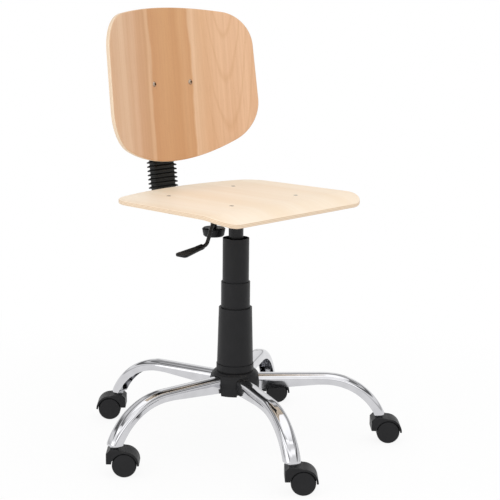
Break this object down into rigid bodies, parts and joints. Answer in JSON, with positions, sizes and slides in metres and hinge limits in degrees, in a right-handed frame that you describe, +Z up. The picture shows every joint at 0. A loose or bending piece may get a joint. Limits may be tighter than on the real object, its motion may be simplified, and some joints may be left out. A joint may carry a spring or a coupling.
{
  "type": "work chair",
  "caption": "Work chair with bent plywood seat and backrest, gas height column with telescopic cover, lever, clamp knobs and a castor base of pressed legs.",
  "frame": {"origin": "on the floor under the column's axis", "axes": "+Z up along the column, the sitter faces -Y, +X is to the sitter's left"},
  "size_m": [0.6673, 0.6974, 0.9277],
  "materials": {
    "chrome": "polished chrome plate",
    "beech_seat": "satin lacquer on beech plywood",
    "beech_back": "satin lacquer on beech plywood",
    "bolt_chrome": "bright plate",
    "bolt_grey": "grey plate",
    "rubber_black": "matt black",
    "steel_black": "black powder coat",
    "steel_bright": "bright steel",
    "plastic_black": "fine grained black"
  },
  "bodies": {
    "base": {"hub_socket": "steel_black", "leg_1": "chrome", "leg_2": "chrome", "leg_3": "chrome", "leg_4": "chrome", "leg_5": "chrome", "caster_sockets": "steel_bright", "hub_cover": "plastic_black", "column_tube": "steel_black", "guide_bush": "plastic_black", "cover_lower": "plastic_black"},
    "gas_rod": {"piston_rod": "steel_bright", "thrust_bearing": "steel_bright", "bump_stop": "rubber_black", "retaining_clip": "steel_bright"},
    "seat": {"gas_cylinder": "bolt_chrome", "cover_upper": "plastic_black", "taper_socket": "steel_black", "mechanism_housing": "steel_black", "mechanism_plate": "steel_black", "bar_channel": "steel_black", "bar_guide": "plastic_black", "seat_board": "beech_seat", "seat_bolts": "bolt_grey"},
    "cover_middle": {"cover_middle": "plastic_black"},
    "lever": {"lever_rod": "steel_black", "lever_paddle": "plastic_black"},
    "release_pin": {"release_pin": "steel_bright"},
    "back_bar": {"back_bar": "steel_black", "bellows": "rubber_black"},
    "depth_knob": {"depth_knob": "plastic_black"},
    "backrest": {"backrest_board": "beech_back", "back_bracket": "plastic_black", "back_bolts": "bolt_chrome"},
    "height_knob": {"height_knob": "plastic_black"},
    "caster_1": {"caster_1_housing": "plastic_black", "caster_1_stem": "steel_bright", "caster_1_axle": "steel_bright"},
    "caster_1_wheel_left": {"caster_1_wheel_left": "plastic_black"},
    "caster_1_wheel_right": {"caster_1_wheel_right": "plastic_black"},
    "caster_2": {"caster_2_housing": "plastic_black", "caster_2_stem": "steel_bright", "caster_2_axle": "steel_bright"},
    "caster_2_wheel_left": {"caster_2_wheel_left": "plastic_black"},
    "caster_2_wheel_right": {"caster_2_wheel_right": "plastic_black"},
    "caster_3": {"caster_3_housing": "plastic_black", "caster_3_stem": "steel_bright", "caster_3_axle": "steel_bright"},
    "caster_3_wheel_left": {"caster_3_wheel_left": "plastic_black"},
    "caster_3_wheel_right": {"caster_3_wheel_right": "plastic_black"},
    "caster_4": {"caster_4_housing": "plastic_black", "caster_4_stem": "steel_bright", "caster_4_axle": "steel_bright"},
    "caster_4_wheel_left": {"caster_4_wheel_left": "plastic_black"},
    "caster_4_wheel_right": {"caster_4_wheel_right": "plastic_black"},
    "caster_5": {"caster_5_housing": "plastic_black", "caster_5_stem": "steel_bright", "caster_5_axle": "steel_bright"},
    "caster_5_wheel_left": {"caster_5_wheel_left": "plastic_black"},
    "caster_5_wheel_right": {"caster_5_wheel_right": "plastic_black"}
  },
  "joints": [
    {"name": "seat_swivel", "type": "hinge", "parent": "base", "child": "gas_rod", "pos_m": [0, 0, 0.1], "axis": [0, 0, 1], "continuous": true},
    {"name": "seat_height", "type": "slide", "parent": "gas_rod", "child": "seat", "axis": [0, 0, 1], "range_m": [-0.12, 0]},
    {"name": "cover_follow", "type": "slide", "parent": "base", "child": "cover_middle", "axis": [0, 0, 1], "range_m": [-0.06, 0]},
    {"name": "lever_lift", "type": "hinge", "parent": "seat", "child": "lever", "pos_m": [-0.02, 0, 0.519], "axis": [0, 1, 0], "range_deg": [0, 8]},
    {"name": "pin_press", "type": "slide", "parent": "seat", "child": "release_pin", "axis": [0, 0, 1], "range_m": [-0.0035, 0]},
    {"name": "back_depth", "type": "slide", "parent": "seat", "child": "back_bar", "axis": [0, 1, 0], "range_m": [-0.015, 0.02]},
    {"name": "depth_knob_turn", "type": "hinge", "parent": "seat", "child": "depth_knob", "pos_m": [0, 0.065, 0.46], "axis": [0, 0, 1], "continuous": true},
    {"name": "back_height", "type": "slide", "parent": "back_bar", "child": "backrest", "axis": [0, 0.1115, 0.9938], "range_m": [-0.045, 0.03], "deforming": ["bellows"]},
    {"name": "height_knob_turn", "type": "hinge", "parent": "backrest", "child": "height_knob", "pos_m": [0, 0.25559, 0.74187], "axis": [0, 0.9938, -0.1115], "continuous": true},
    {"name": "caster_1_swivel", "type": "hinge", "parent": "base", "child": "caster_1", "pos_m": [-0.13765, -0.28222, 0.06], "axis": [0, 0, 1], "continuous": true},
    {"name": "caster_1_roll_left", "type": "hinge", "parent": "caster_1", "child": "caster_1_wheel_left", "pos_m": [-0.12333, -0.29758, 0.025], "axis": [0.7314, 0.682, 0], "continuous": true},
    {"name": "caster_1_roll_right", "type": "hinge", "parent": "caster_1", "child": "caster_1_wheel_right", "pos_m": [-0.12333, -0.29758, 0.025], "axis": [0.7314, 0.682, 0], "continuous": true},
    {"name": "caster_2_swivel", "type": "hinge", "parent": "base", "child": "caster_2", "pos_m": [0.22587, -0.21812, 0.06], "axis": [0, 0, 1], "continuous": true},
    {"name": "caster_2_roll_left", "type": "hinge", "parent": "caster_2", "child": "caster_2_wheel_left", "pos_m": [0.24019, -0.23348, 0.025], "axis": [0.7314, 0.682, 0], "continuous": true},
    {"name": "caster_2_roll_right", "type": "hinge", "parent": "caster_2", "child": "caster_2_wheel_right", "pos_m": [0.24019, -0.23348, 0.025], "axis": [0.7314, 0.682, 0], "continuous": true},
    {"name": "caster_3_swivel", "type": "hinge", "parent": "base", "child": "caster_3", "pos_m": [0.27725, 0.14741, 0.06], "axis": [0, 0, 1], "continuous": true},
    {"name": "caster_3_roll_left", "type": "hinge", "parent": "caster_3", "child": "caster_3_wheel_left", "pos_m": [0.29157, 0.13206, 0.025], "axis": [0.7314, 0.682, 0], "continuous": true},
    {"name": "caster_3_roll_right", "type": "hinge", "parent": "caster_3", "child": "caster_3_wheel_right", "pos_m": [0.29157, 0.13206, 0.025], "axis": [0.7314, 0.682, 0], "continuous": true},
    {"name": "caster_4_swivel", "type": "hinge", "parent": "base", "child": "caster_4", "pos_m": [-0.05453, 0.30923, 0.06], "axis": [0, 0, 1], "continuous": true},
    {"name": "caster_4_roll_left", "type": "hinge", "parent": "caster_4", "child": "caster_4_wheel_left", "pos_m": [-0.06885, 0.32459, 0.025], "axis": [-0.7314, -0.682, 0], "continuous": true},
    {"name": "caster_4_roll_right", "type": "hinge", "parent": "caster_4", "child": "caster_4_wheel_right", "pos_m": [-0.06885, 0.32459, 0.025], "axis": [-0.7314, -0.682, 0], "continuous": true},
    {"name": "caster_5_swivel", "type": "hinge", "parent": "base", "child": "caster_5", "pos_m": [-0.31094, 0.0437, 0.06], "axis": [0, 0, 1], "continuous": true},
    {"name": "caster_5_roll_left", "type": "hinge", "parent": "caster_5", "child": "caster_5_wheel_left", "pos_m": [-0.29662, 0.02834, 0.025], "axis": [0.7314, 0.682, 0], "continuous": true},
    {"name": "caster_5_roll_right", "type": "hinge", "parent": "caster_5", "child": "caster_5_wheel_right", "pos_m": [-0.29662, 0.02834, 0.025], "axis": [0.7314, 0.682, 0], "continuous": true}
  ],
  "couplings": [
    {"joint": "cover_follow", "follows": "seat_height", "ratio": 0.5},
    {"joint": "pin_press", "follows": "lever_lift", "m_per_rad": -0.022}
  ]
}
